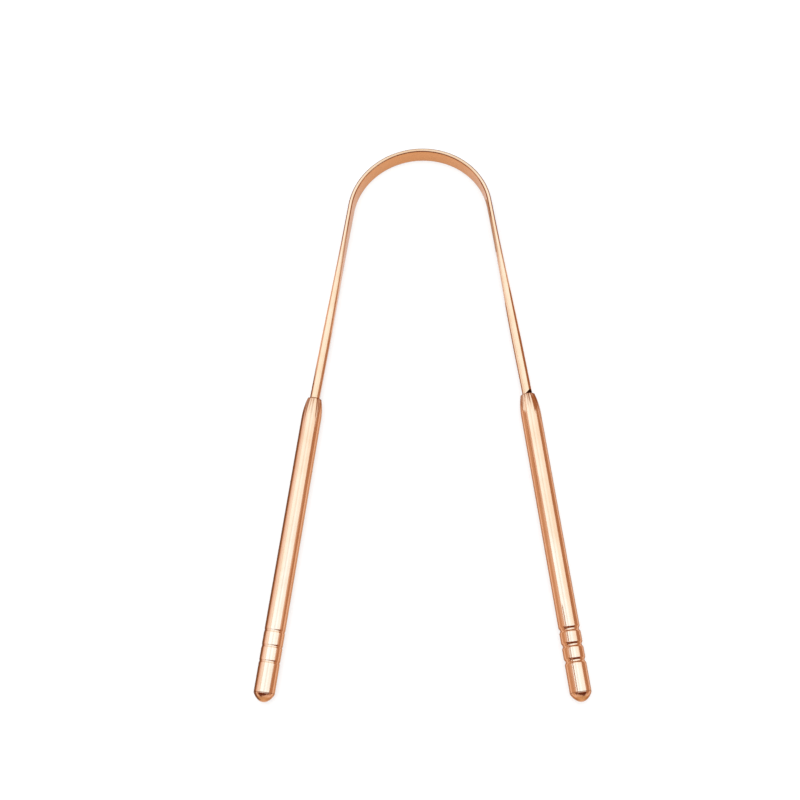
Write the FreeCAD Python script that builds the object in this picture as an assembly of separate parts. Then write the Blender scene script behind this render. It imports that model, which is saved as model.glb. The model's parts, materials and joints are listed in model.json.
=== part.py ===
"""U-shaped tongue scraper: a bent copper bow with a hollow handle crimped on each leg.

The part lies flat. +Z is up, +Y points to the arch, and X runs across the two handles.
The origin is at the middle of the part's outline, on the surface that the handles rest on.
"""
import math
import os

import FreeCAD
import Part

Vector = FreeCAD.Vector
UP = Vector(0, 0, 1)

# Driving dimensions, in millimetres and degrees

# The bow: its middle is pressed flat into the scraping band, its ends are square legs
ARCH_RADIUS = 18.85
BAND_THICKNESS = 1.1
BAND_WIDTH = 4.9
BAND_BEVEL = 0.25
LEG_SPLAY = 8.7
LEG_LENGTH = 55.3
LEG_SIZE = 2.4
LEG_BEVEL = 0.6
TAPER_LENGTH = 43.0
TAPER_STATIONS = 9
TANG_LENGTH = 14.0
TANG_CHAMFER = 0.35

# The handle: a tube that is swaged round the leg at its mouth, and splayed a little less than the leg
HANDLE_DIAMETER = 5.0
HANDLE_WALL = 0.6
HANDLE_LENGTH = 73.3
HANDLE_SPLAY = 7.6
NECK_LENGTH = 5.4
NECK_WALL = 0.42
GRIP_LENGTH = 0.9
GRIP_CLEARANCE = 0.02
MOUTH_BEVEL = 0.3

# Turned grooves, counted back from the tube's plugged end: deep on the right, fine lines on the left
GROOVE_COUNT = 3
GROOVE_PITCH = 3.6
GROOVE_FROM_END = 7.1
RIGHT_GROOVE_WIDTH = 1.5
RIGHT_GROOVE_DEPTH = 0.3
LEFT_GROOVE_WIDTH = 0.9
LEFT_GROOVE_DEPTH = 0.1

# The plug in the tube's end: a blunt nose with a curved side and a rounded tip
NOSE_HEIGHT = 2.0
NOSE_CURVE = 4.0
TIP_RADIUS = 2.0
PLUG_RIM = 0.12
SEAM_CHAMFER = 0.06
SPIGOT_LENGTH = 4.0
SPIGOT_CLEARANCE = 0.02
SPIGOT_CHAMFER = 0.35

# Sizes that follow from the driving dimensions
HANDLE_RADIUS = HANDLE_DIAMETER / 2
BORE_RADIUS = HANDLE_RADIUS - HANDLE_WALL
LEG_CORNER = math.hypot(LEG_SIZE / 2, LEG_SIZE / 2 - LEG_BEVEL)
GRIP_RADIUS = LEG_CORNER + GRIP_CLEARANCE
MOUTH_RADIUS = GRIP_RADIUS + NECK_WALL
SPIGOT_RADIUS = BORE_RADIUS - SPIGOT_CLEARANCE

# Where a leg leaves the arch and where its handle starts, across and along from the arch's centre
LEG_TURN = math.radians(LEG_SPLAY)
HANDLE_TURN = math.radians(HANDLE_SPLAY)
LEG_START = (ARCH_RADIUS * math.cos(LEG_TURN), ARCH_RADIUS * math.sin(LEG_TURN))
MOUTH = (LEG_START[0] + LEG_LENGTH * math.sin(LEG_TURN), LEG_START[1] - LEG_LENGTH * math.cos(LEG_TURN))

# The arch's centre stands at mid height, and its place puts the origin in the middle of the outline.
# The outline's near end is where the plugs' round tips reach furthest from the arch.
TIP_CENTRE = PLUG_RIM + NOSE_HEIGHT - TIP_RADIUS
FAR_END_Y = ARCH_RADIUS + BAND_THICKNESS / 2
NEAR_END_Y = MOUTH[1] - (HANDLE_LENGTH + TIP_CENTRE) * math.cos(HANDLE_TURN) - TIP_RADIUS
ARCH_CENTRE = Vector(0, -(FAR_END_Y + NEAR_END_Y) / 2, max(HANDLE_DIAMETER, BAND_WIDTH) / 2)

SIDES = {"left": -1, "right": 1}


def line(*ends):
    """Straight edge between two (radius, distance) or (across, height) points in the drawing plane."""
    return Part.LineSegment(*[Vector(a, b, 0) for a, b in ends]).toShape()


def arc(centre, radius, start, end):
    """Edge of a circle in the drawing plane, from one angle to the other."""
    points = []
    for angle in (start, (start + end) / 2, end):
        points.append(Vector(centre[0] + radius * math.cos(angle), centre[1] + radius * math.sin(angle), 0))
    return Part.Arc(*points).toShape()


def revolve(edges):
    """Solid turned from a closed profile whose first coordinate is the distance from the axis.

    The profile's second coordinate runs from the mouth to the end, which is -Y in the part.
    """
    face = Part.Face(Part.Wire(Part.__sortEdges__(edges)))
    solid = face.revolve(Vector(0, 0, 0), Vector(0, 1, 0), 360)
    solid.rotate(Vector(0, 0, 0), Vector(1, 0, 0), 180)
    return solid


def placed(shape, side, start, splay, distance=0):
    """Copy of a shape drawn along -Y, put on the line that leaves a start on one side at a splay."""
    across = start[0] + distance * math.sin(math.radians(splay))
    along = start[1] - distance * math.cos(math.radians(splay))
    copy = shape.copy()
    copy.rotate(Vector(0, 0, 0), UP, side * splay)
    copy.translate(ARCH_CENTRE + Vector(side * across, along, 0))
    return copy


def on_leg(shape, side, distance):
    """Shape put on a leg's axis, at a distance from where the arch ends."""
    return placed(shape, side, LEG_START, LEG_SPLAY, distance)


def on_handle(shape, side, distance):
    """Shape put on a handle's axis, at a distance from its mouth."""
    return placed(shape, side, MOUTH, HANDLE_SPLAY, distance)


def section(thickness, width, bevel):
    """Closed wire of a bevelled rectangle across the bow: thickness along X, width along Z."""
    x = thickness / 2
    z = width / 2
    quarter = [(x, z - bevel), (x - bevel, z)]
    corners = quarter + [(-a, b) for a, b in reversed(quarter)]
    corners += [(-a, -b) for a, b in corners]
    return Part.makePolygon([Vector(a, 0, b) for a, b in corners + corners[:1]])


def bevel_loss(bevel):
    """Area that four bevels take off a rectangle."""
    return 2 * bevel**2


def taper_section(share):
    """Section of the leg a share of the way from the flat band to the square leg.

    The thickness and the bevel ease from one end to the other. The metal is squeezed and not cut there,
    so the area eases too, and the width follows from it.
    """
    ease = share * share * (3 - 2 * share)
    thickness = BAND_THICKNESS + (LEG_SIZE - BAND_THICKNESS) * ease
    bevel = BAND_BEVEL + (LEG_BEVEL - BAND_BEVEL) * ease
    band_area = BAND_THICKNESS * BAND_WIDTH - bevel_loss(BAND_BEVEL)
    leg_area = LEG_SIZE**2 - bevel_loss(LEG_BEVEL)
    area = band_area + (leg_area - band_area) * ease
    width = (area + bevel_loss(bevel)) / thickness
    return section(thickness, width, bevel)


def make_bow():
    """The bow: a flat band turned round the arch, a tapering leg on each side, and a tang in each handle."""
    band = section(BAND_THICKNESS, BAND_WIDTH, BAND_BEVEL)
    band.translate(Vector(ARCH_RADIUS, 0, 0))
    band.rotate(Vector(0, 0, 0), UP, LEG_SPLAY)
    arch = Part.Face(band).revolve(Vector(0, 0, 0), UP, 180 - 2 * LEG_SPLAY)
    arch.translate(ARCH_CENTRE)

    square = section(LEG_SIZE, LEG_SIZE, LEG_BEVEL)
    cut_size = LEG_SIZE - 2 * TANG_CHAMFER
    cut_end = section(cut_size, cut_size, LEG_BEVEL * cut_size / LEG_SIZE)
    pieces = []
    for side in SIDES.values():
        stations = []
        for number in range(TAPER_STATIONS):
            share = number / (TAPER_STATIONS - 1)
            stations.append(on_leg(taper_section(share), side, share * TAPER_LENGTH))
        pieces.append(Part.makeLoft(stations, True, False))
        bend = placed(square, side, MOUTH, (LEG_SPLAY + HANDLE_SPLAY) / 2)
        straight = [on_leg(square, side, TAPER_LENGTH), bend]
        straight.append(on_handle(square, side, TANG_LENGTH - TANG_CHAMFER))
        straight.append(on_handle(cut_end, side, TANG_LENGTH))
        pieces.append(Part.makeLoft(straight, True, True))
    return arch.fuse(pieces).removeSplitter()


def grooved_wall(start, end, groove_width, groove_depth):
    """Edges of the handle's outside from start to end, with a round-bottomed cut at every groove."""
    half = groove_width / 2
    cutter_radius = (half**2 + groove_depth**2) / (2 * groove_depth)
    cutter_turn = math.asin(half / cutter_radius)
    cutter_place = HANDLE_RADIUS - groove_depth + cutter_radius
    edges = []
    reached = start
    for number in reversed(range(GROOVE_COUNT)):
        centre = HANDLE_LENGTH - GROOVE_FROM_END - number * GROOVE_PITCH
        edges.append(line((HANDLE_RADIUS, reached), (HANDLE_RADIUS, centre - half)))
        edges.append(arc((cutter_place, centre), cutter_radius, math.pi + cutter_turn, math.pi - cutter_turn))
        reached = centre + half
    edges.append(line((HANDLE_RADIUS, reached), (HANDLE_RADIUS, end)))
    return edges


def make_handle_tube(groove_width, groove_depth):
    """A handle, mouth first: swaged neck, plain grip, turned grooves, open end for the plug."""
    drop = HANDLE_RADIUS - MOUTH_RADIUS
    neck_bend = (NECK_LENGTH**2 + drop**2) / (2 * drop)
    neck_turn = math.asin((NECK_LENGTH - MOUTH_BEVEL) / neck_bend)
    neck_centre = HANDLE_RADIUS - neck_bend
    neck_start = neck_centre + neck_bend * math.cos(neck_turn)
    lip_radius = MOUTH_RADIUS - MOUTH_BEVEL
    chamfer_start = HANDLE_LENGTH - SEAM_CHAMFER
    end_radius = HANDLE_RADIUS - SEAM_CHAMFER

    edges = [
        line((GRIP_RADIUS, 0), (lip_radius, 0)),
        line((lip_radius, 0), (neck_start, MOUTH_BEVEL)),
        arc((neck_centre, NECK_LENGTH), neck_bend, -neck_turn, 0),
        line((HANDLE_RADIUS, chamfer_start), (end_radius, HANDLE_LENGTH)),
        line((end_radius, HANDLE_LENGTH), (BORE_RADIUS, HANDLE_LENGTH)),
        line((BORE_RADIUS, HANDLE_LENGTH), (BORE_RADIUS, NECK_LENGTH)),
        line((BORE_RADIUS, NECK_LENGTH), (GRIP_RADIUS, GRIP_LENGTH)),
        line((GRIP_RADIUS, GRIP_LENGTH), (GRIP_RADIUS, 0)),
    ]
    return revolve(edges + grooved_wall(NECK_LENGTH, chamfer_start, groove_width, groove_depth))


def make_end_plug():
    """The plug: a blunt nose, a short rim, and a spigot inside the tube.

    The nose's side is an arc that leaves the rim's edge and runs into the round tip as its tangent. The rim's
    edge, the tip's centre and the arc's centre make a triangle whose three sides are known, which gives the
    arc's angle at the rim.
    """
    rise = TIP_CENTRE - PLUG_RIM
    to_tip = math.hypot(HANDLE_RADIUS, rise)
    tip_to_curve = NOSE_CURVE - TIP_RADIUS
    corner = math.acos((NOSE_CURVE**2 + to_tip**2 - tip_to_curve**2) / (2 * NOSE_CURVE * to_tip))
    rim_turn = corner - math.atan2(rise, HANDLE_RADIUS)
    curve_centre = (HANDLE_RADIUS - NOSE_CURVE * math.cos(rim_turn), PLUG_RIM - NOSE_CURVE * math.sin(rim_turn))
    tip_turn = math.atan2(TIP_CENTRE - curve_centre[1], -curve_centre[0])
    seat_radius = HANDLE_RADIUS - SEAM_CHAMFER
    cut_radius = SPIGOT_RADIUS - SPIGOT_CHAMFER
    tip = PLUG_RIM + NOSE_HEIGHT

    return revolve([
        arc((0, TIP_CENTRE), TIP_RADIUS, math.pi / 2, tip_turn),
        arc(curve_centre, NOSE_CURVE, tip_turn, rim_turn),
        line((HANDLE_RADIUS, PLUG_RIM), (HANDLE_RADIUS, SEAM_CHAMFER)),
        line((HANDLE_RADIUS, SEAM_CHAMFER), (seat_radius, 0)),
        line((seat_radius, 0), (SPIGOT_RADIUS, 0)),
        line((SPIGOT_RADIUS, 0), (SPIGOT_RADIUS, SPIGOT_CHAMFER - SPIGOT_LENGTH)),
        line((SPIGOT_RADIUS, SPIGOT_CHAMFER - SPIGOT_LENGTH), (cut_radius, -SPIGOT_LENGTH)),
        line((cut_radius, -SPIGOT_LENGTH), (0, -SPIGOT_LENGTH)),
        line((0, -SPIGOT_LENGTH), (0, tip)),
    ])


def main():
    """Build every piece in its place and write one file for each."""
    tubes = {
        "left": make_handle_tube(LEFT_GROOVE_WIDTH, LEFT_GROOVE_DEPTH),
        "right": make_handle_tube(RIGHT_GROOVE_WIDTH, RIGHT_GROOVE_DEPTH),
    }
    plug = make_end_plug()
    parts = {"scraper_bow": make_bow()}
    for name, side in SIDES.items():
        parts[name + "_handle_tube"] = on_handle(tubes[name], side, 0)
        parts[name + "_end_plug"] = on_handle(plug, side, HANDLE_LENGTH)

    os.makedirs("parts", exist_ok=True)
    for name, shape in parts.items():
        if not shape.isValid() or len(shape.Solids) != 1:
            raise ValueError(name + " is not one valid solid")
        solid = shape.Solids[0]
        solid.exportStep(os.path.join("parts", name + ".step"))
        print(name, "volume", round(solid.Volume, 2), "mm3")


main()
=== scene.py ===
"""Looks of the tongue scraper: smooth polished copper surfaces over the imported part, and a small studio.

Every length is in metres and every place is in the part's own frame: +Y to the arch, +Z up.
"""
import json
import math

import bpy
import numpy as np
from bpy.props import FloatProperty, FloatVectorProperty, IntProperty, PointerProperty
from bpy.types import Operator, Panel, PropertyGroup
from mathutils import Matrix, Vector


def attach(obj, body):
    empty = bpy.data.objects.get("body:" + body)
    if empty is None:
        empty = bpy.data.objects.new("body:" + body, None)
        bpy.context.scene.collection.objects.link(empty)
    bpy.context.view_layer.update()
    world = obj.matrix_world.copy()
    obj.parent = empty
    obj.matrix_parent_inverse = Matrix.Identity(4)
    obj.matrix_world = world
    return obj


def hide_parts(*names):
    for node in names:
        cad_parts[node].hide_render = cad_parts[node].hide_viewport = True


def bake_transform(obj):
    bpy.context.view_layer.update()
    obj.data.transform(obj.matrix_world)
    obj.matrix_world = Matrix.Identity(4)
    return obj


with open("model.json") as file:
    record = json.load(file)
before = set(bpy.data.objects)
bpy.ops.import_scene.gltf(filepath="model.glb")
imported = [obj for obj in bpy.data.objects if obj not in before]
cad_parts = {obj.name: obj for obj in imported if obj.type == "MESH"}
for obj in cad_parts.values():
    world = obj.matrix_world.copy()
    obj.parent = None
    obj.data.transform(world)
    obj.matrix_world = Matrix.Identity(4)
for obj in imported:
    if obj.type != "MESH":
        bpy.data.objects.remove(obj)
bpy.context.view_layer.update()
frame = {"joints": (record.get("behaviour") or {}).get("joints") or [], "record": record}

bl_info = {
    "name": "Tongue scraper",
    "version": (1, 0, 0),
    "blender": (4, 5, 0),
    "location": "View3D > Sidebar > Scraper",
    "description": "Builds the copper tongue scraper's surfaces and its studio",
    "category": "Add Mesh",
}

SIDES = {"left": -1, "right": 1}
MM_PER_M = 1000
UP = np.array([0.0, 0.0, 1.0])
MOUNTS = {mount["name"]: mount for mount in frame["record"]["mounts"]}
GRIP = MOUNTS["right_grip"]
ARCH_CENTRE = np.array(frame["joints"][0]["pos_m"], float)
ARCH_INSIDE = MOUNTS["hang_arch"]["pos_m"][1] - ARCH_CENTRE[1]
BAND_THICKNESS = 0.0011
HANDLE_DIAMETER = 2 * GRIP["dims"]["r_mm"] / MM_PER_M
HANDLE_SPLAY = math.asin(abs(GRIP["axis"][0]))


def length(name, default, description):
    """A length property in metres."""
    return FloatProperty(
        name=name, description=description, default=default, min=0.0, precision=5, unit="LENGTH", subtype="DISTANCE"
    )


def share(name, default, description):
    """A number property from 0 to 1."""
    return FloatProperty(name=name, description=description, default=default, min=0.0, max=1.0, subtype="FACTOR")


def colour(name, default, description):
    """A linear colour property."""
    return FloatVectorProperty(
        name=name, description=description, default=default, size=3, min=0.0, max=10.0, subtype="COLOR"
    )


class ScraperBowShape(PropertyGroup):
    """Sizes of the bow."""

    arch_radius: length("Arch radius", ARCH_INSIDE + BAND_THICKNESS / 2, "Radius of the arch's middle line")
    band_thickness: length("Band thickness", BAND_THICKNESS, "Thickness of the flat scraping band")
    band_width: length("Band width", 0.0049, "Width of the flat scraping band")
    band_bevel: length("Band bevel", 0.00025, "Bevel along the band's edges")
    band_round: length("Band rounding", 0.0002, "Rounding of the band's bevelled edges")
    leg_splay: FloatProperty(
        name="Leg splay", description="Angle of each leg to the middle line", default=math.radians(8.7), subtype="ANGLE"
    )
    leg_length: length("Leg length", 0.0553, "From the arch's end to the handle's mouth")
    leg_size: length("Leg size", 0.0024, "Side of the square leg")
    leg_bevel: length("Leg bevel", 0.0006, "Bevel along the leg's edges")
    leg_round: length("Leg rounding", 0.0006, "Rounding of the leg's bevelled edges")
    taper_length: length("Taper length", 0.043, "Stretch over which the band becomes the square leg")
    tang_length: length("Tang length", 0.014, "Stretch of the leg inside the handle")
    # How far the dark triangle climbs the right leg from its mouth
    dark_reach: length("Soot reach", 0.0011, "How far the dark residue climbs out of the right mouth")


class ScraperHandleShape(PropertyGroup):
    """Sizes of the handles and their plugs."""

    diameter: length("Diameter", HANDLE_DIAMETER, "Outside diameter of the tube")
    splay: FloatProperty(
        name="Splay", description="Angle of each handle to the middle line", default=HANDLE_SPLAY, subtype="ANGLE"
    )
    wall: length("Wall", 0.0006, "Thickness of the tube's wall")
    tube_length: length("Tube length", 0.0733, "From the mouth to the plugged end")
    neck_length: length("Neck length", 0.0054, "Stretch over which the tube narrows to its mouth")
    mouth_radius: length("Mouth radius", 0.00178, "Outside radius at the mouth")
    grip_radius: length("Grip radius", 0.00136, "Radius of the hole round the leg")
    grip_length: length("Grip length", 0.0009, "Length of the hole round the leg")
    lip_round: length("Lip rounding", 0.0002, "Rounding of the mouth's rim")
    crimp_count: IntProperty(name="Crimps", description="Number of swage marks round the mouth", default=18, min=1)
    crimp_depth: length("Crimp depth", 0.00013, "Depth of the swage marks at the mouth")
    crimp_length: length("Crimp length", 0.008, "Mean length of the swage marks")
    groove_count: IntProperty(name="Grooves", description="Number of grooves", default=3, min=0)
    groove_pitch: length("Groove pitch", 0.0036, "Distance between grooves")
    groove_from_end: length("Groove place", 0.0071, "From the last groove to the plugged end")
    left_groove_width: length("Left groove width", 0.0009, "Width of a groove on the left handle")
    left_groove_depth: length("Left groove depth", 0.0001, "Depth of a groove on the left handle")
    right_groove_width: length("Right groove width", 0.0015, "Width of a groove on the right handle")
    right_groove_depth: length("Right groove depth", 0.0003, "Depth of a groove on the right handle")
    nose_height: length("Nose height", 0.002, "Height of the plug's blunt nose above its rim")
    nose_curve: length("Nose curve", 0.004, "Radius of the nose's curved side")
    tip_radius: length("Tip radius", 0.002, "Radius of the nose's round tip")
    plug_rim: length("Plug rim", 0.00012, "Height of the plug's straight rim")
    seam_chamfer: length("Seam chamfer", 0.00006, "Chamfer on both sides of the seam")
    spigot_length: length("Spigot length", 0.004, "Length of the plug inside the tube")


class ScraperFinish(PropertyGroup):
    """Colours and polish of the copper."""

    handle_fresh: colour("Handle copper", (0.74, 0.37, 0.205), "Bright polished copper of the handles")
    handle_aged: colour("Handle tone", (0.69, 0.32, 0.165), "Slightly deeper copper in soft patches")
    bow_fresh: colour("Bow copper", (0.72, 0.36, 0.195), "Bright copper of the bow")
    bow_aged: colour("Bow tone", (0.68, 0.31, 0.15), "Slightly deeper copper in soft patches")
    satin_tone: colour("Satin copper", (0.62, 0.268, 0.103), "Deeper copper of the satin faces")
    # Brown film in the swage marks and on the mouth's rim; the same colour paints shade lines along the band's edges
    # and shade on the left grooves' slopes
    film_and_shade: colour("Film", (0.30, 0.055, 0.008), "Brown film in the swage marks and along the band's edges")
    # Black where the marks are darkest: the seams, the inside of the tubes, the mouths with their dark triangle, and a
    # little of the band's outer painted shade line
    tarnish_and_shade: colour("Tarnish", (0.016, 0.004, 0.002), "Black residue in the seams and mouths")
    polish: share("Polish roughness", 0.15, "Roughness of polished copper")
    satin: share("Satin roughness", 0.30, "Roughness of the satin faces")


class ScraperStudio(PropertyGroup):
    """Camera, floor and light."""

    camera_place: FloatVectorProperty(
        name="Camera place", description="Where the camera stands", default=(0.014785, -0.093122, 0.268089),
        subtype="TRANSLATION", unit="LENGTH", precision=5,
    )
    camera_target: FloatVectorProperty(
        name="Camera target", description="Point in the middle of the picture", default=(-0.005173, 0.001132, 0.0025),
        subtype="TRANSLATION", unit="LENGTH", precision=5,
    )
    camera_roll: FloatProperty(
        name="Camera roll", description="Turn of the camera about its own axis", default=math.radians(0.277),
        subtype="ANGLE",
    )
    lens: FloatProperty(name="Lens", description="Focal length on a 36 mm sensor", default=50.15, unit="CAMERA")
    floor_colour: colour("Floor", (0.90, 0.90, 0.90), "Colour of the floor")
    box_colour: colour("Softbox", (1.5, 2.5, 3.55), "Brightness of the overhead softbox in reflections")
    strut_colour: colour("Strut", (1.3, 2.0, 2.7), "The softbox's strut, seen in reflections")
    warm_colour: colour("Warm side", (1.4, 2.15, 2.85), "The softbox's warmer right side, seen in reflections")
    white_gain: colour("White gain", (1.0, 1.15, 1.3), "How much whiter the softbox is near the handles' ends")
    bounce_colour: colour("Bounce", (1.3, 1.85, 2.4), "White cards by the left side and the right leg, in reflections")
    fade_colour: colour("Fade", (1.2, 1.4, 1.75), "Lower part of the white card, seen in reflections")
    pale_colour: colour("Pale strips", (0.80, 0.65, 0.50), "Pale strips beside the handles, seen in reflections")
    strip_colour: colour("Strips", (0.64, 0.47, 0.34), "Brown strips beside the handles and legs, seen in reflections")
    shade_colour: colour("Shade", (0.28, 0.18, 0.12), "Shaded floor beside the object, seen in reflections")
    card_colour: colour("Cards", (0.50, 0.30, 0.17), "Brown cards round the object, seen in reflections")
    flag_colour: colour("Flags", (0.17, 0.06, 0.03), "Dark flags round the object, seen in reflections")


def settings(group):
    """One of the scraper's property groups."""
    return getattr(bpy.context.scene, "scraper_" + group)


# Surfaces

SHARP_ANGLE = math.radians(50)


def ease(amount):
    """Smooth step from 0 to 1: three times the square less twice the cube."""
    t = np.clip(amount, 0.0, 1.0)
    return t * t * (3 - 2 * t)


def run_lengths(points):
    """Distance along a line of points up to each of them."""
    return np.concatenate([[0.0], np.cumsum(np.linalg.norm(np.diff(points, axis=0), axis=1))])


def wrapped_quads(rows, columns, bands):
    """Corner numbers of the quads of a grid whose columns close into a ring, over a number of bands between rows."""
    row, column = np.meshgrid(np.arange(bands), np.arange(columns), indexing="ij")
    above, after = (row + 1) % rows, (column + 1) % columns
    quads = np.stack([row * columns + column, row * columns + after,
                      above * columns + after, above * columns + column], axis=-1)
    return quads.reshape(-1, 4)


def ring_piece(name, rings, along, around, marks, closed_ends):
    """Mesh object through rings of points, rings[i, j], that close on themselves in j.

    The UV map holds the distance around the piece and the distance along it, both in millimetres. A closed end
    gets a fan of triangles to its ring's middle; without closed ends, the last ring joins the first. Each entry
    of marks becomes a number on every point.
    """
    rows, columns, _ = rings.shape
    points = rings.reshape(-1, 3)
    bands = len(along) - 1
    quads = wrapped_quads(rows, columns, bands)
    faces = quads.tolist()
    band_start = np.repeat(along[:-1], columns)[:, None]
    band_length = np.repeat(np.diff(along), columns)[:, None]
    corner_along = band_start + band_length * np.array([0, 0, 1, 1])
    corner_around = around[np.tile(np.arange(columns), bands)[:, None] + np.array([0, 1, 1, 0])]
    middles = []
    if closed_ends:
        ring = np.arange(columns)
        after = (ring + 1) % columns
        first, last = rows * columns, rows * columns + 1
        middles = [rings[0].mean(axis=0), rings[-1].mean(axis=0)]
        start = np.stack([np.full(columns, first), after, ring], axis=-1)
        end = np.stack([np.full(columns, last), ring, after], axis=-1)
        end[:, 1:] += (rows - 1) * columns
        faces += start.tolist() + end.tolist()
    mesh = bpy.data.meshes.new(name)
    mesh.from_pydata(np.vstack([points] + middles).tolist(), [], faces)
    uv = np.zeros((len(mesh.loops), 2), np.float32)
    uv[:quads.size, 0] = corner_around.ravel() * MM_PER_M
    uv[:quads.size, 1] = corner_along.ravel() * MM_PER_M
    mesh.uv_layers.new(name="surface").uv.foreach_set("vector", uv.ravel())
    for label, values in marks.items():
        full = np.zeros(len(mesh.vertices), np.float32)
        full[:len(points)] = np.broadcast_to(values, rings.shape[:2]).ravel()
        mesh.attributes.new(label, "FLOAT", "POINT").data.foreach_set("value", full)
    mesh.polygons.foreach_set("use_smooth", np.ones(len(mesh.polygons), bool))
    mesh.set_sharp_from_angle(angle=SHARP_ANGLE)
    mesh.validate()
    piece = bpy.data.objects.new(name, mesh)
    bpy.context.scene.collection.objects.link(piece)
    return piece


def spokes(side, angle):
    """Directions in the object's plane: the angle's cosine out to a side, and its sine towards the arch."""
    return np.stack([side * np.cos(angle), np.sin(angle), 0 * angle], axis=-1)


def directions(side, splay):
    """Direction along a leg or handle to its far end, and the direction outwards across it."""
    return spokes(side, splay - math.pi / 2), spokes(side, splay)


def leg_start(side):
    """Point where the arch ends and a leg starts."""
    bow = settings("bow")
    return ARCH_CENTRE + bow.arch_radius * directions(side, bow.leg_splay)[1]


def mouth_place(side):
    """Middle of a handle's mouth."""
    bow = settings("bow")
    return leg_start(side) + bow.leg_length * directions(side, bow.leg_splay)[0]


def turned_points(side, distance, radius):
    """Points turned about a handle's axis.

    Row i stands at distance[i] from the mouth, and its column j at radius[i, j] in the direction of angle j:
    outwards at zero, then up.
    """
    along, outward = directions(side, settings("handle").splay)
    angle = np.linspace(0, 2 * math.pi, radius.shape[1], endpoint=False) * side
    spoke = np.cos(angle)[:, None] * outward + np.sin(angle)[:, None] * UP
    return mouth_place(side) + distance[:, None, None] * along + radius[:, :, None] * spoke


# The bow

CLOSE_BEFORE, CLOSE_BEHIND = 0.0015, 0.0005  # stretch round the mouth where the rings lie closest
TURN_LENGTH = 0.0006  # stretch at the mouth over which a leg turns onto its handle's axis
TANG_TIP, TANG_TIP_SHRINK = 0.0005, 0.28  # length of the tang's tip, and how much smaller it ends
BEND_REACH = 0.012  # distance down a leg to a point that is worked out and not used
SATIN_START, SATIN_FADE = 0.80, 0.15  # where the satin faces start, in shares of half the band's thickness
DARK_FOOT, DARK_FADE = 0.00018, 0.00006  # height of the dark ring all round a mouth, and its soft edge
DARK_PLACE, DARK_SHARE = (-0.4, 0.7, 1.0), (0.0, 1.0, 0.4)  # places across the leg, and how far the dark triangle climbs there
OUTER_SHADE_LINE, INNER_SHADE_LINE = 0.64, 0.50  # painted shade lines along the band's outer and inner edges, standing in for dark reflections there
SHADE_LINE_OVERLAP, SHADE_LINE_FADE = 0.0001, 0.00012  # how far the painted shade lines pass the bevel, and their soft edge
SHADE_LINE_TAPER = 1.8  # how many times faster than the taper the painted shade lines fade


def bow_section(thickness, width, bevel, rounding, arc_points=5, flat_points=5):
    """Rings of a bevelled rectangle with rounded corners: the distance out and the distance up of every point.

    Each of the eight corners is an arc of the rounding's radius between two neighbouring face directions, which
    are 45 degrees apart. Its centre lies where those two faces meet once both are moved in by the radius. The
    flats between the arcs get evenly spaced points of their own.
    """
    inset = bevel + (math.sqrt(2) - 1) * rounding
    near_side = np.stack([thickness / 2 - rounding, width / 2 - inset], axis=-1)
    near_top = np.stack([thickness / 2 - inset, width / 2 - rounding], axis=-1)
    quarter = np.stack([near_side, near_top], axis=1)
    flip = np.array([-1.0, 1.0])
    half = np.concatenate([quarter, quarter[:, ::-1] * flip], axis=1)
    centres = np.concatenate([half, -half], axis=1)
    turn = np.arange(8)[:, None] * math.pi / 4 + np.linspace(0, math.pi / 4, arc_points)
    arcs = np.stack([np.cos(turn), np.sin(turn)], axis=-1)
    corners = centres[:, :, None, :] + rounding[:, None, None, None] * arcs
    start = corners[:, :, -1:]
    end = np.roll(corners[:, :, :1], -1, axis=1)
    flats = start + (end - start) * np.linspace(0, 1, flat_points + 2)[1:-1, None]
    return np.concatenate([corners, flats], axis=2).reshape(len(thickness), -1, 2)


def bow_rows(arc_length, mouth, total):
    """Distance of every ring from the top of the arch: evenly spaced in each stretch, closest round the mouth."""
    taper_end = arc_length + settings("bow").taper_length
    stretches = (
        (0.0, arc_length, 240),
        (arc_length, taper_end, 160),
        (taper_end, mouth - CLOSE_BEFORE, 30),
        (mouth - CLOSE_BEFORE, mouth + CLOSE_BEHIND, 50),
        (mouth + CLOSE_BEHIND, total - TANG_TIP, 20),
    )
    rows = [np.linspace(start, end, count, endpoint=False) for start, end, count in stretches]
    return np.concatenate(rows + [np.linspace(total - TANG_TIP, total, 6)])


def bow_marks(side, section, thickness, eased, to_mouth):
    """Satin, painted shade and dark marks on the bow's rings, from 0 to 1.

    The band's inner and outer faces are satin, and painted shade lines lie along its edges in place of the dark
    reflections there; both fade out with the taper. A dark ring stands in each mouth, and at the right one it
    climbs the leg as a triangle, highest near the leg's outer edge.
    """
    bow = settings("bow")
    out = section[:, :, 0]
    tapered = eased[:, None]
    satin = ease((np.abs(out) / (thickness[:, None] / 2) - SATIN_START) / SATIN_FADE) * (1 - tapered)
    # a dark ring at each mouth, and a dark triangle climbing the right leg
    climb = (side > 0) * np.interp(out / (bow.leg_size / 2), DARK_PLACE, DARK_SHARE)
    mouth_dark = ease((DARK_FOOT + bow.dark_reach * climb - to_mouth[:, None]) / DARK_FADE)
    # painted shade: dark lines along the band's edges, standing in for the dark reflections on its bevels
    edge = bow.band_thickness / 2 - bow.band_bevel - SHADE_LINE_OVERLAP
    outer_shade_line = OUTER_SHADE_LINE * ease((out - edge) / SHADE_LINE_FADE)
    inner_shade_line = INNER_SHADE_LINE * ease((-out - edge) / SHADE_LINE_FADE) * (1 - satin)
    lines = (outer_shade_line + inner_shade_line) * (1 - ease(tapered * SHADE_LINE_TAPER))
    return {"satin": satin, "tarnish_and_shade": np.maximum(mouth_dark, lines)}


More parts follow.
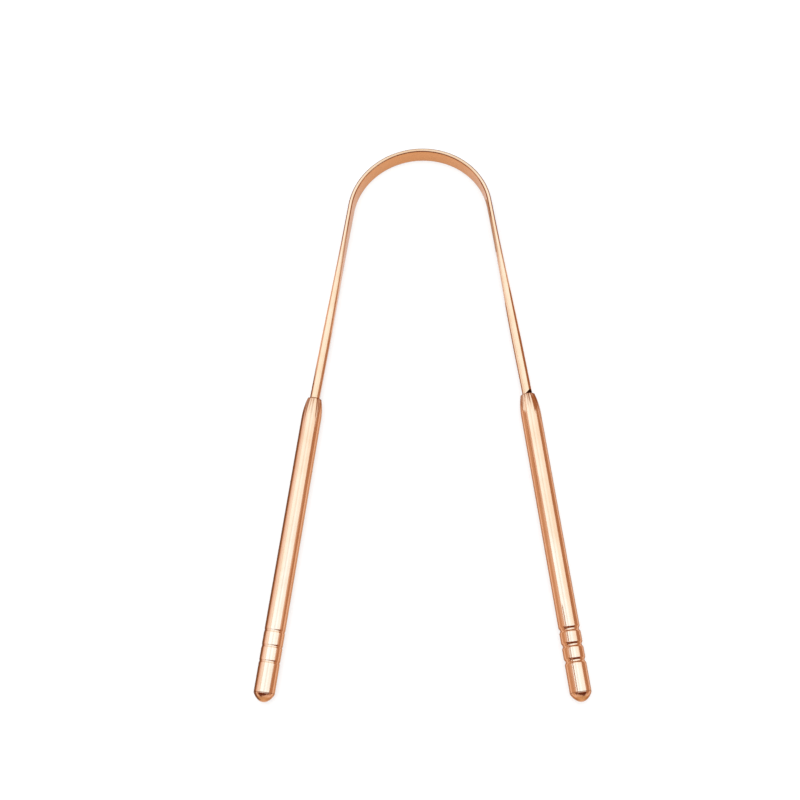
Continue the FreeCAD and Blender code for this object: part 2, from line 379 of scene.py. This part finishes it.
def bow_half(side):
    """Rings of one half of the bow, from the top of the arch to the tang's end.

    The middle line is an arc of the arch's radius, a straight leg that leaves it as its tangent, and a tang
    that turns onto the handle's axis at its mouth. The thickness, the bevel and the area of the section ease
    from the flat band to the square leg over the taper, and the width is the area, with the bevels' corners
    added back, over the thickness.
    """
    bow = settings("bow")
    handle = settings("handle")
    arc_length = bow.arch_radius * (math.pi / 2 - bow.leg_splay)
    mouth = arc_length + bow.leg_length
    total = mouth + bow.tang_length
    distance = bow_rows(arc_length, mouth, total)
    on_leg = np.maximum(distance - arc_length, 0.0)
    on_tang = np.maximum(on_leg - bow.leg_length, 0.0)
    round_arch = math.pi / 2 - np.minimum(distance, arc_length) / bow.arch_radius
    toe_in = (bow.leg_splay - handle.splay) * ease(0.5 + (on_leg - bow.leg_length) / TURN_LENGTH)
    outward = spokes(side, round_arch - toe_in)
    middle = ARCH_CENTRE + bow.arch_radius * spokes(side, round_arch)
    middle += (on_leg - on_tang)[:, None] * directions(side, bow.leg_splay)[0]
    middle += on_tang[:, None] * directions(side, handle.splay)[0]

    eased = ease(on_leg / bow.taper_length)
    thickness = bow.band_thickness + (bow.leg_size - bow.band_thickness) * eased
    bevel = bow.band_bevel + (bow.leg_bevel - bow.band_bevel) * eased
    rounding = bow.band_round + (bow.leg_round - bow.band_round) * eased
    band_area = bow.band_thickness * bow.band_width - 2 * bow.band_bevel**2
    leg_area = bow.leg_size**2 - 2 * bow.leg_bevel**2
    width = (band_area + (leg_area - band_area) * eased + 2 * bevel**2) / thickness
    tip = 1 - TANG_TIP_SHRINK * ease((distance - total + TANG_TIP) / TANG_TIP)
    section = bow_section(thickness * tip, width * tip, bevel * tip, rounding * tip)
    rings = middle[:, None, :] + section[:, :, :1] * outward[:, None, :] + section[:, :, 1:] * UP
    around = run_lengths(np.vstack([section[0], section[0, :1]]))
    return rings, distance, around, bow_marks(side, section, thickness, eased, mouth - distance)


# The handles and plugs

RIM_ROWS, NECK_ROWS, PLAIN_ROWS, GROOVED_ROWS, TUBE_COLUMNS = 9, 60, 40, 230, 256
TIP_ROWS, NOSE_ROWS, PLUG_COLUMNS = 24, 60, 160
BORE_SPACING, SPIGOT_SPACING = 0.01, 0.0006  # distance between rings inside the tube and on the spigot
CRIMP_SEED = 7
CRIMP_SHIFT = (-0.28, 0.28)  # how far a swage mark is out of place, in shares of the distance between marks
CRIMP_REACH, CRIMP_DEPTH = (0.45, 1.6), (0.45, 1.0)  # a mark's length and depth, in shares of the set ones
CRIMP_SPREAD, CRIMP_FADE = 1.7, 1.5  # how wide the marks are, and how fast they fade along the neck
GROOVE_SHADE = {-1: 0.15, 1: 0.0}  # painted shade on the slopes of the grooves, left and right
RIM_FILM = {-1: 0.8, 1: 0.6}  # film on the mouth's rim
RIM_FILM_END, RIM_FILM_FADE = 0.0004, 0.0003  # how far along the neck that film goes, and its soft edge
STREAK_FILM = {-1: 0.75, 1: 0.55}  # film in the swage marks
FACE_FILM = 0.5  # film in the middle of the mouth's face
SPIGOT_GAP, SPIGOT_CHAMFER = 0.00002, 0.00035
POLE_TURN, POLE_RADIUS = 0.0005, 0.00002  # first ring's angle at the nose's tip, last ring's radius on the spigot
SEAM_FILM_START, SEAM_FILM_FADE = 0.00002, 0.00004
NOSE_SATIN_START, NOSE_SATIN_FADE = 0.0007, 0.0004  # where the nose's satin starts above the rim


def profile_line(spacing, *corners):
    """Points along straight runs between (distance, radius) corners, at about the given spacing."""
    runs = []
    for start, end in zip(corners[:-1], corners[1:]):
        count = max(2, int(math.dist(start, end) / spacing) + 1)
        runs.append(np.linspace(start, end, count, endpoint=False))
    return np.vstack(runs + [np.array([corners[-1]])])


def profile_arc(centre, radius, start, end, count):
    """Points on a circle about a (distance, radius) centre, between two angles from the axis's direction."""
    turn = np.linspace(start, end, count)
    return np.array(centre) + radius * np.stack([np.cos(turn), np.sin(turn)], axis=-1)


def groove_size(side):
    """Width and depth of a groove on one handle."""
    handle = settings("handle")
    if side > 0:
        return handle.right_groove_width, handle.right_groove_depth
    return handle.left_groove_width, handle.left_groove_depth


def groove_dip(distance, width):
    """Share of the grooves' depth at each distance: a raised cosine across each groove's width."""
    handle = settings("handle")
    number = np.arange(handle.groove_count)
    centre = handle.tube_length - handle.groove_from_end - number * handle.groove_pitch
    offset = np.clip((distance[:, None] - centre) / width, -0.5, 0.5)
    return (np.cos(math.pi * offset) ** 2).sum(axis=1)


def tube_profile(side):
    """Outer and inner points of a handle tube's closed profile, each a distance from the mouth and a radius.

    The neck is an arc that runs into the tube's side as its tangent. The inner points end in the middle of the
    mouth's face, and the outer ones start at that face's rounded rim.
    """
    handle = settings("handle")
    width, depth = groove_size(side)
    outside = handle.diameter / 2
    bore = outside - handle.wall
    drop = outside - handle.mouth_radius
    bend = (handle.neck_length**2 + drop**2) / (2 * drop)
    lip = handle.lip_round
    chamfer = handle.seam_chamfer
    neck = np.linspace(lip, handle.neck_length, NECK_ROWS)
    neck_radius = outside - bend + np.sqrt(bend**2 - (handle.neck_length - neck) ** 2)
    face_edge = neck_radius[0] - lip
    rim = profile_arc((lip, face_edge), lip, math.pi, math.pi / 2, RIM_ROWS)
    grooves_start = handle.tube_length - handle.groove_from_end - (handle.groove_count - 0.5) * handle.groove_pitch
    plain = np.linspace(handle.neck_length, grooves_start, PLAIN_ROWS)[1:-1]
    grooved = np.linspace(grooves_start, handle.tube_length - chamfer, GROOVED_ROWS)
    wall = np.concatenate([plain, grooved])
    wall_radius = outside - depth * groove_dip(wall, width)
    outer = np.vstack([rim[:-1], np.stack([neck, neck_radius], axis=-1), np.stack([wall, wall_radius], axis=-1)])
    inner = profile_line(
        BORE_SPACING, (handle.tube_length, outside - chamfer), (handle.tube_length, bore),
        (handle.neck_length, bore), (handle.grip_length, handle.grip_radius),
        (0.0, handle.grip_radius), (0.0, face_edge),
    )
    return outer, inner[:-1]


def swage_dents(side, distance):
    """Depth of the swage marks at each distance from the mouth and each angle round it.

    Each mark is a narrow dent, a squared cosine across, that fades out along the neck. The marks differ a little
    in place, length and depth.
    """
    handle = settings("handle")
    count = handle.crimp_count
    angle = np.linspace(0, 2 * math.pi, TUBE_COLUMNS, endpoint=False)
    rng = np.random.default_rng(CRIMP_SEED + side)
    place = (np.arange(count) + rng.uniform(*CRIMP_SHIFT, count)) * 2 * math.pi / count
    reach = handle.crimp_length * rng.uniform(*CRIMP_REACH, count)
    depth = handle.crimp_depth * rng.uniform(*CRIMP_DEPTH, count)
    apart = np.angle(np.exp(1j * (angle[:, None] - place)))
    across = np.cos(np.clip(apart * count / CRIMP_SPREAD, -math.pi / 2, math.pi / 2)) ** 2
    fade = depth * (1 - ease(distance[:, None] / reach)) ** CRIMP_FADE
    return fade @ across.T


def tube_film_and_shade(side, distance, dent):
    """Film and painted shade on a tube's outside, from 0 to 1: painted shade on the grooves' slopes, film on the
    mouth's rim and in the swage marks.
    """
    dip = groove_dip(distance, groove_size(side)[0])
    # painted shade on the grooves' slopes, strongest halfway down each slope
    slope_shade = GROOVE_SHADE[side] * 4 * dip * (1 - dip)
    rim = RIM_FILM[side] * ease((RIM_FILM_END - distance) / RIM_FILM_FADE)
    streaks = STREAK_FILM[side] * dent / settings("handle").crimp_depth
    return np.minimum(slope_shade[:, None] + np.maximum(rim[:, None], streaks), 1.0)


def tube_surface(side):
    """Rings of a handle tube: its closed profile turned about the handle's axis, less the swage marks."""
    outer, inner = tube_profile(side)
    profile = np.vstack([outer, inner])
    dent = swage_dents(side, outer[:, 0])
    radius = np.repeat(profile[:, 1:], TUBE_COLUMNS, axis=1)
    radius[:len(outer)] -= dent
    tarnish_and_shade = np.ones(radius.shape)
    tarnish_and_shade[:len(outer)] = tube_film_and_shade(side, outer[:, 0], dent)
    tarnish_and_shade[-1] = FACE_FILM
    rings = turned_points(side, profile[:, 0], radius)
    along = run_lengths(np.vstack([profile, profile[:1]]))
    around = np.linspace(0, math.pi * settings("handle").diameter, TUBE_COLUMNS + 1)
    return rings, along, around, {"tarnish_and_shade": tarnish_and_shade}


def plug_surface(side):
    """Rings of an end plug: a round tip, a curved nose, a short rim, the seam's chamfer and the spigot, turned.

    The nose's side is an arc that leaves the rim's edge and runs into the tip as its tangent. The rim's edge, the
    tip's centre and the arc's centre make a triangle with known sides, which gives the arc's angle at the rim.
    """
    handle = settings("handle")
    outside = handle.diameter / 2
    curve = handle.nose_curve
    rise = handle.nose_height - handle.tip_radius
    to_tip = math.hypot(outside, rise)
    corner = math.acos((curve**2 + to_tip**2 - (curve - handle.tip_radius) ** 2) / (2 * curve * to_tip))
    rim_turn = corner - math.atan2(rise, outside)
    centre = (handle.plug_rim - curve * math.sin(rim_turn), outside - curve * math.cos(rim_turn))
    tip_centre = (handle.plug_rim + rise, 0.0)
    tip_turn = math.atan2(-centre[1], tip_centre[0] - centre[0])
    spigot = outside - handle.wall - SPIGOT_GAP
    chamfer = handle.seam_chamfer
    profile = np.vstack([
        profile_arc(tip_centre, handle.tip_radius, POLE_TURN, tip_turn, TIP_ROWS)[:-1],
        profile_arc(centre, curve, tip_turn, math.pi / 2 - rim_turn, NOSE_ROWS),
        profile_line(
            SPIGOT_SPACING, (chamfer, outside), (0.0, outside - chamfer), (0.0, spigot),
            (SPIGOT_CHAMFER - handle.spigot_length, spigot), (-handle.spigot_length, spigot - SPIGOT_CHAMFER),
            (-handle.spigot_length, POLE_RADIUS),
        ),
    ])
    distance = profile[:, 0]
    radius = np.repeat(profile[:, 1:], PLUG_COLUMNS, axis=1)
    inside = ease((SEAM_FILM_START - distance) / SEAM_FILM_FADE)[:, None]
    nose = ease((distance - handle.plug_rim - NOSE_SATIN_START) / NOSE_SATIN_FADE)[:, None]
    rings = turned_points(side, handle.tube_length + distance, radius)[:, ::-1]
    around = np.linspace(0, math.pi * handle.diameter, PLUG_COLUMNS + 1)
    return rings, run_lengths(profile), around, {"tarnish_and_shade": inside, "satin": nose}


# Finishes

LINE_RELIEF, GRAIN_RELIEF, RELIEF_DEPTH = 0.05, 0.09, 0.00004  # strength of the fine relief, and its depth
GRAIN_STRETCH, GRAIN_TURN = (2.2, 14.0), math.radians(42)  # waves a millimetre of the satin's crossed grain
FILM_AND_SHADE_FULL, BLACKENING_START, BLACKENING_ROUGHNESS = 0.7, 0.6, 0.4  # where film and painted shade cover fully, where they blacken, how matt they get


def add_node(tree, kind, inputs=(), **options):
    """A new shader node with its options set and its inputs given as a value or as another node's output."""
    node = tree.nodes.new("ShaderNode" + kind)
    for option, value in options.items():
        setattr(node, option, value)
    for socket, value in dict(inputs).items():
        if isinstance(value, bpy.types.NodeSocket):
            tree.links.new(value, node.inputs[socket])
        else:
            node.inputs[socket].default_value = value
    return node


def start_material(name):
    """An empty node material, its tree and its output node."""
    material = bpy.data.materials.new(name)
    material.use_nodes = True
    material.node_tree.nodes.clear()
    return material, material.node_tree, add_node(material.node_tree, "OutputMaterial")


def stretched_noise(tree, source, stretch, turn=0.0):
    """Noise on the surface's own millimetres, stretched by a number of waves a millimetre in each direction."""
    placed = add_node(tree, "Mapping", {"Vector": source, "Scale": (*stretch, 1.0), "Rotation": (0, 0, turn)})
    noise = {"Vector": placed.outputs[0], "Scale": 1.0, "Detail": 3.0, "Roughness": 0.6}
    return add_node(tree, "TexNoise", noise, noise_dimensions="2D").outputs["Fac"]


def ramp(tree, value, low=0.0, high=1.0, start=0.0, end=1.0):
    """A value moved from the range low to high onto the range start to end."""
    return add_node(tree, "MapRange", {"Value": value, 1: low, 2: high, 3: start, 4: end}).outputs[0]


def blend_colour(tree, amount, first, second):
    """A colour between two others."""
    node = add_node(tree, "Mix", data_type="RGBA")
    for socket, value in ((node.inputs[0], amount), (node.inputs[6], first), (node.inputs[7], second)):
        if isinstance(value, bpy.types.NodeSocket):
            tree.links.new(value, socket)
        else:
            socket.default_value = value
    return node.outputs[2]


def copper(name, fresh, aged, line_stretch, satin_face):
    """Polished copper: drawing lines along the piece, soft patches of deeper tone, and dark film and painted shade
    where marked.

    With a satin face, the tone deepens, the roughness rises and a crossed grain shows where the piece is marked.
    """
    finish = settings("finish")
    material, tree, output = start_material(name)
    coordinates = add_node(tree, "TexCoord")
    surface = coordinates.outputs["UV"]
    lines = stretched_noise(tree, surface, line_stretch)
    cloud = {"Vector": coordinates.outputs["Object"], "Scale": 140.0, "Detail": 4.0, "Roughness": 0.55}
    patches = add_node(tree, "TexNoise", cloud).outputs["Fac"]
    # the points' mark of film, dark mouths and painted shade
    film_and_shade = add_node(tree, "Attribute", attribute_name="tarnish_and_shade").outputs["Fac"]
    tone = ramp(tree, patches, low=0.38, high=0.68, end=0.8)
    hue = blend_colour(tree, tone, (*fresh, 1.0), (*aged, 1.0))
    fine = ramp(tree, lines, low=0.3, high=0.7, start=finish.polish * 0.8, end=finish.polish * 1.25)
    height = lines
    relief = LINE_RELIEF
    if satin_face:
        satin = add_node(tree, "Attribute", attribute_name="satin").outputs["Fac"]
        hue = blend_colour(tree, satin, hue, (*finish.satin_tone, 1.0))
        rising = stretched_noise(tree, surface, GRAIN_STRETCH, GRAIN_TURN)
        falling = stretched_noise(tree, surface, GRAIN_STRETCH, -GRAIN_TURN)
        grain = add_node(tree, "Math", {0: rising, 1: falling}, operation="ADD").outputs[0]
        brushed = ramp(tree, grain, low=0.7, high=1.3, start=finish.satin * 0.85, end=finish.satin * 1.15)
        fine = add_node(tree, "Mix", {0: satin, 2: fine, 3: brushed}).outputs[0]
        height = add_node(tree, "Mix", {0: satin, 2: lines, 3: grain}).outputs[0]
        relief = GRAIN_RELIEF
    hue = blend_colour(tree, ramp(tree, film_and_shade, high=FILM_AND_SHADE_FULL), hue, (*finish.film_and_shade, 1.0))
    blackening = ramp(tree, film_and_shade, low=BLACKENING_START)
    hue = blend_colour(tree, blackening, hue, (*finish.tarnish_and_shade, 1.0))
    rough = add_node(tree, "Math", {0: blackening, 1: BLACKENING_ROUGHNESS, 2: fine}, operation="MULTIPLY_ADD").outputs[0]
    bump = add_node(tree, "Bump", {"Height": height, "Strength": relief, "Distance": RELIEF_DEPTH}).outputs[0]
    shader = add_node(tree, "BsdfPrincipled", {
        "Base Color": hue, "Metallic": ramp(tree, blackening, start=1.0, end=0.0), "Roughness": rough, "Normal": bump,
        "Specular IOR Level": 0.0,
    })
    tree.links.new(shader.outputs[0], output.inputs[0])
    return material


# The studio

FLOOR_REACH = 2.0  # from the middle of the floor to its edges
FLOOR_GAP = 0.0001  # height above the floor of the strips that lie on it
NEAR_WHITE = 0.62  # share of the floor's look near the object that is plain white
WHITE_START, WHITE_FULL = 0.2, 0.6  # distances from the origin over which that share rises to 1
FILL_LIGHT = 0.45  # strength of the surroundings for rays that aren't seen


def stage_strip(name, first, second):
    """A strip between two lines of points, put in the studio and not in the object."""
    count = len(first)
    mesh = bpy.data.meshes.new(name)
    faces = [(i, i + 1, count + i + 1, count + i) for i in range(count - 1)]
    mesh.from_pydata(np.vstack([first, second]).tolist(), [], faces)
    strip = bpy.data.objects.new(name, mesh)
    bpy.context.scene.collection.objects.link(strip)
    return strip


def glow(name, shade):
    """A surface with one even brightness."""
    material, tree, output = start_material(name)
    lamp = add_node(tree, "Emission", {"Color": (*shade, 1.0), "Strength": 1.0})
    tree.links.new(lamp.outputs[0], output.inputs[0])
    return material


def reflection_strip(name, first, second, shade):
    """A glowing or dark strip left to mirrored rays alone: it neither shows nor lights nor shades anything."""
    card = stage_strip("studio_" + name, first, second)
    card.data.materials.append(glow("studio_" + name, shade))
    card.visible_camera = False
    card.visible_diffuse = False
    card.visible_transmission = False
    card.visible_volume_scatter = False
    card.visible_shadow = False


def reflection_card(name, corner, side_a, side_b, shade):
    """A reflection strip that is a rectangle, from one corner and its two sides."""
    corner, side_a, side_b = (np.array(v, float) for v in (corner, side_a, side_b))
    line = np.array([corner, corner + side_a])
    reflection_strip(name, line, line + side_b, shade)


def handle_card(name, side, near, far, span, shade):
    """A long reflection card beside a leg, a handle or both.

    Its two long edges stand at near and far, each a distance outwards and a distance up from the handle's axis.
    It runs along the axis over a span, measured from the mouth.
    """
    along, outward = directions(side, settings("handle").splay)
    corner = mouth_place(side) + span[0] * along + near[0] * outward + near[1] * UP
    across = (far[0] - near[0]) * outward + (far[1] - near[1]) * UP
    reflection_card(name, corner, (span[1] - span[0]) * along, across, shade)


def arch_flag(name, inside, outside, height, shade):
    """A reflection strip that lies as half a ring round the arch, between two radii."""
    spoke = spokes(1, np.linspace(0, math.pi, 49))
    middle = ARCH_CENTRE + height * UP
    reflection_strip(name, middle + inside * spoke, middle + outside * spoke, shade)


def hang_softbox(studio):
    """The softbox overhead: four panels side by side, each with a whiter half over the handles' ends."""
    height, near, seam, far = 0.3, -0.22, 0.02, 0.40
    panels = {
        "softbox_left": (-0.27, -0.05, studio.box_colour),
        "softbox_strut": (-0.05, 0.02, studio.strut_colour),
        "softbox_middle": (0.02, 0.12, studio.box_colour),
        "softbox_right": (0.12, 0.51, studio.warm_colour),
    }
    for name, (left, right, shade) in panels.items():
        across = (right - left, 0.0, 0.0)
        whiter = [value * gain for value, gain in zip(shade, studio.white_gain)]
        reflection_card(name, (left, seam, height), (0.0, far - seam, 0.0), across, shade)
        reflection_card(name + "_near", (left, near, height), (0.0, seam - near, 0.0), across, whiter)


def stand_cards(studio):
    """Brown cards and dark flags farther from the object, each from one corner and its two sides."""
    dark = studio.flag_colour
    brown = studio.card_colour
    left, right, near, far = -0.47, 0.52, -0.4, 0.5
    cards = {
        "far_card": ((left, far, 0.07), (right - left, 0.0, 0.0), (0.0, 0.0, 0.24), brown),
        "right_near": ((right, near, 0.1), (0.0, 0.3, 0.0), (0.0, 0.0, 0.21), brown),
        "right_far": ((right, 0.03, 0.0), (0.0, 0.47, 0.0), (0.0, 0.0, 0.24), brown),
        "left_near": ((left, near, 0.07), (0.0, 0.3, 0.0), (0.0, 0.0, 0.24), brown),
        "left_far": ((left, 0.03, 0.0), (0.0, 0.47, 0.0), (0.0, 0.0, 0.24), brown),
        "near_roof": ((left, near, 0.31), (right - left, 0.0, 0.0), (0.0, 0.18, 0.0), brown),
        "near_flag": ((-0.15, near, 0.15), (0.3, 0.0, 0.0), (0.0, 0.0, 0.16), dark),
        "near_left": ((left, near, 0.08), (0.32, 0.0, 0.0), (0.0, 0.0, 0.23), dark),
        "near_right": ((0.15, near, 0.08), (0.37, 0.0, 0.0), (0.0, 0.0, 0.23), dark),
    }
    for name, card in cards.items():
        reflection_card(name, *card)


def lay_strips(studio):
    """Strips close to the legs and handles, on the floor or standing, and one that lies round the arch.

    Each entry gives the side, the two long edges and the span, as for a handle card, and the colour. Most edges
    stand aside from the axis, beside the handle or under its outline.
    """
    brown, strip = studio.card_colour, studio.strip_colour
    pale, bounce = studio.pale_colour, studio.bounce_colour
    foot = FLOOR_GAP - ARCH_CENTRE[2]
    aside, beside, under = 0.014, 0.0065, 0.0024
    arch, mouth, end = -0.056, -0.0005, 0.085
    both, leg, grip, neck = (arch, end), (arch, mouth), (mouth, end), (-0.02, mouth)
    strips = {
        "left_bounce": (-1, (0.018, 0.0225), (0.0245, 0.013), both, bounce),
        "left_fade": (-1, (0.0245, 0.013), (0.0275, 0.004), both, studio.fade_colour),
        "left_foot": (-1, (0.0275, 0.004), (0.0275, foot), both, pale),
        "left_flag": (-1, (0.003, foot), (0.0275, foot), (-0.012, end), studio.shade_colour),
        "left_edge": (-1, (-beside, foot), (-under, foot), grip, pale),
        "left_neck": (-1, (-aside, foot), (-0.0035, foot), neck, brown),
        "left_inner": (-1, (-aside, foot), (-aside, 0.0045), both, strip),
        "right_inner": (1, (-aside, foot), (-aside, 0.0055), grip, pale),
        "right_edge_inner": (1, (-beside, foot), (-under, foot), grip, strip),
        "right_edge_outer": (1, (under, foot), (beside, foot), grip, strip),
        "right_slit": (1, (-0.0078, 0.0105), (-0.0054, 0.0105), (0.052, end), strip),
        "right_neck": (1, (0.0035, foot), (aside, foot), neck, brown),
        "right_leg_shade": (1, (-aside, foot), (-0.0015, foot), (-0.027, mouth), brown),
        "right_top_shade": (1, (-aside, foot), (-0.0015, foot), (-0.058, -0.042), strip),
        "right_leg_foot": (1, (-aside, foot), (-aside, 0.0005), leg, brown),
        "right_leg_inner": (1, (-aside, 0.0005), (-aside, 0.012), leg, bounce),
        "right_outer": (1, (aside, foot), (aside, 0.0055), grip, strip),
        "right_leg_outer": (1, (aside, foot), (aside, 0.016), (-0.036, mouth), brown),
    }
    for name, entry in strips.items():
        handle_card(name, *entry)
    arch_flag("arch_flag", inside=0.0215, outside=0.034, height=foot, shade=studio.shade_colour)


def white_for_seen_rays(tree):
    """1 for camera rays, mirrored rays and rays through glass, and 0 for all others."""
    path = add_node(tree, "LightPath")
    seen = add_node(tree, "Math", {0: path.outputs["Is Camera Ray"], 1: path.outputs["Is Glossy Ray"]},
                    operation="MAXIMUM")
    return add_node(tree, "Math", {0: seen.outputs[0], 1: path.outputs["Is Transmission Ray"]},
                    operation="MAXIMUM").outputs[0]


def floor_finish(studio):
    """Matt white floor that keeps the shadows near the object and is seen as plain white farther away."""
    material, tree, output = start_material("studio_floor")
    matt = add_node(tree, "BsdfDiffuse", {"Color": (*studio.floor_colour, 1.0)})
    white = add_node(tree, "Emission", {"Color": (1.0, 1.0, 1.0, 1.0), "Strength": 1.0})
    away = add_node(tree, "VectorMath", {0: add_node(tree, "TexCoord").outputs["Object"]}, operation="LENGTH")
    plain = ramp(tree, away.outputs["Value"], low=WHITE_START, high=WHITE_FULL, start=NEAR_WHITE)
    part = add_node(tree, "Math", {0: white_for_seen_rays(tree), 1: plain}, operation="MULTIPLY")
    both = add_node(tree, "MixShader", {0: part.outputs[0], 1: matt.outputs[0], 2: white.outputs[0]})
    tree.links.new(both.outputs[0], output.inputs[0])
    return material


def white_world():
    """White surroundings for seen rays, and a softer fill light for the rest."""
    world = bpy.data.worlds.new("studio_world")
    bpy.context.scene.world = world
    world.use_nodes = True
    tree = world.node_tree
    tree.nodes.clear()
    strength = ramp(tree, white_for_seen_rays(tree), start=FILL_LIGHT)
    sky = add_node(tree, "Background", {"Color": (1.0, 1.0, 1.0, 1.0), "Strength": strength})
    tree.links.new(sky.outputs[0], add_node(tree, "OutputWorld").inputs[0])


def aim_camera(studio):
    """Camera at its place, looking at its target with +Y up in the picture, then turned by its roll."""
    data = bpy.data.cameras.new("studio_camera")
    data.lens = studio.lens
    data.sensor_width = 36.0
    data.clip_start = 0.005
    camera = bpy.data.objects.new("studio_camera", data)
    bpy.context.scene.collection.objects.link(camera)
    place = Vector(studio.camera_place)
    back = (place - Vector(studio.camera_target)).normalized()
    level = Vector((0, 1, 0)).cross(back).normalized()
    above = back.cross(level)
    right = level * math.cos(studio.camera_roll) + above * math.sin(studio.camera_roll)
    turn = Matrix((right, back.cross(right), back)).transposed()
    camera.matrix_world = Matrix.Translation(place) @ turn.to_4x4()
    bpy.context.scene.camera = camera


def soft_light(name, place, size, power):
    """Square area light that lights the scene from above but shows in no reflection."""
    data = bpy.data.lights.new(name, "AREA")
    data.shape = "SQUARE"
    data.size = size
    data.energy = power
    lamp = bpy.data.objects.new(name, data)
    lamp.location = place
    lamp.visible_camera = False
    lamp.visible_glossy = False
    bpy.context.scene.collection.objects.link(lamp)


# Operators


class SCRAPER_OT_bow(Operator):
    """Build the bow as two halves"""

    bl_idname = "scraper.bow"
    bl_label = "Build bow"

    def execute(self, context):
        bow = settings("bow")
        finish = settings("finish")
        metal = copper("bow_copper", finish.bow_fresh, finish.bow_aged, line_stretch=(6.0, 0.25), satin_face=True)
        for label, side in SIDES.items():
            rings, along, around, marks = bow_half(side)
            if side < 0:
                rings = rings[:, ::-1]
                marks = {key: value[:, ::-1] for key, value in marks.items()}
            piece = ring_piece(label + "_bow_half", rings, along, around, marks, closed_ends=True)
            piece.data.materials.append(metal)
            bent = leg_start(side) + BEND_REACH * directions(side, bow.leg_splay)[0]
            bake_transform(piece)
            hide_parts("scraper_bow")
        return {"FINISHED"}


class SCRAPER_OT_handles(Operator):
    """Build both handle tubes with their swaged necks and grooves"""

    bl_idname = "scraper.handles"
    bl_label = "Build handles"

    def execute(self, context):
        finish = settings("finish")
        metal = copper(
            "handle_copper", finish.handle_fresh, finish.handle_aged, line_stretch=(5.0, 0.06), satin_face=False
        )
        for label, side in SIDES.items():
            piece = ring_piece(label + "_handle", *tube_surface(side), closed_ends=False)
            piece.data.materials.append(metal)
            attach(piece, label + "_handle")
            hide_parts(label + "_handle_tube")
        return {"FINISHED"}


class SCRAPER_OT_plugs(Operator):
    """Build the blunt-nosed plugs in the ends of the handles"""

    bl_idname = "scraper.plugs"
    bl_label = "Build plugs"

    def execute(self, context):
        finish = settings("finish")
        metal = copper(
            "plug_copper", finish.handle_fresh, finish.handle_aged, line_stretch=(0.4, 5.0), satin_face=True
        )
        for label, side in SIDES.items():
            piece = ring_piece(label + "_plug", *plug_surface(side), closed_ends=True)
            piece.data.materials.append(metal)
            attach(piece, label + "_handle")
            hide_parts(label + "_end_plug")
        return {"FINISHED"}


class SCRAPER_OT_studio(Operator):
    """Set up the floor, the light and the camera"""

    bl_idname = "scraper.studio"
    bl_label = "Build studio"

    def execute(self, context):
        studio = settings("studio")
        context.scene.view_settings.view_transform = "Standard"
        white_world()
        low, high = -FLOOR_REACH, FLOOR_REACH
        floor = stage_strip("studio_floor", [(low, low, 0), (high, low, 0)], [(low, high, 0), (high, high, 0)])
        floor.data.materials.append(floor_finish(studio))
        hang_softbox(studio)
        stand_cards(studio)
        lay_strips(studio)
        soft_light("studio_key", place=(0.0, 0.0, 0.8), size=0.9, power=9.0)
        aim_camera(studio)
        return {"FINISHED"}


class SCRAPER_PT_panel(Panel):
    """Lists the scraper's sizes, finishes and build steps"""

    bl_label = "Tongue scraper"
    bl_idname = "SCRAPER_PT_panel"
    bl_space_type = "VIEW_3D"
    bl_region_type = "UI"
    bl_category = "Scraper"

    def draw(self, context):
        for group, shape in GROUPS.items():
            box = self.layout.box()
            box.label(text=group.capitalize())
            for name in shape.__annotations__:
                box.prop(settings(group), name)
        for step in STEPS:
            self.layout.operator(step.bl_idname)


GROUPS = {
    "bow": ScraperBowShape,
    "handle": ScraperHandleShape,
    "finish": ScraperFinish,
    "studio": ScraperStudio,
}
STEPS = (SCRAPER_OT_bow, SCRAPER_OT_handles, SCRAPER_OT_plugs, SCRAPER_OT_studio)


def register():
    """Add the property groups, operators and panel."""
    for item in (*GROUPS.values(), *STEPS, SCRAPER_PT_panel):
        bpy.utils.register_class(item)
    for group, shape in GROUPS.items():
        setattr(bpy.types.Scene, "scraper_" + group, PointerProperty(type=shape))


def unregister():
    """Take away what register added."""
    for group in GROUPS:
        delattr(bpy.types.Scene, "scraper_" + group)
    for item in (SCRAPER_PT_panel, *STEPS, *GROUPS.values()):
        bpy.utils.unregister_class(item)


def main():
    """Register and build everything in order."""
    register()
    bpy.ops.scraper.studio()
    bpy.ops.scraper.bow()
    bpy.ops.scraper.handles()
    bpy.ops.scraper.plugs()


if __name__ == "__main__":
    main()
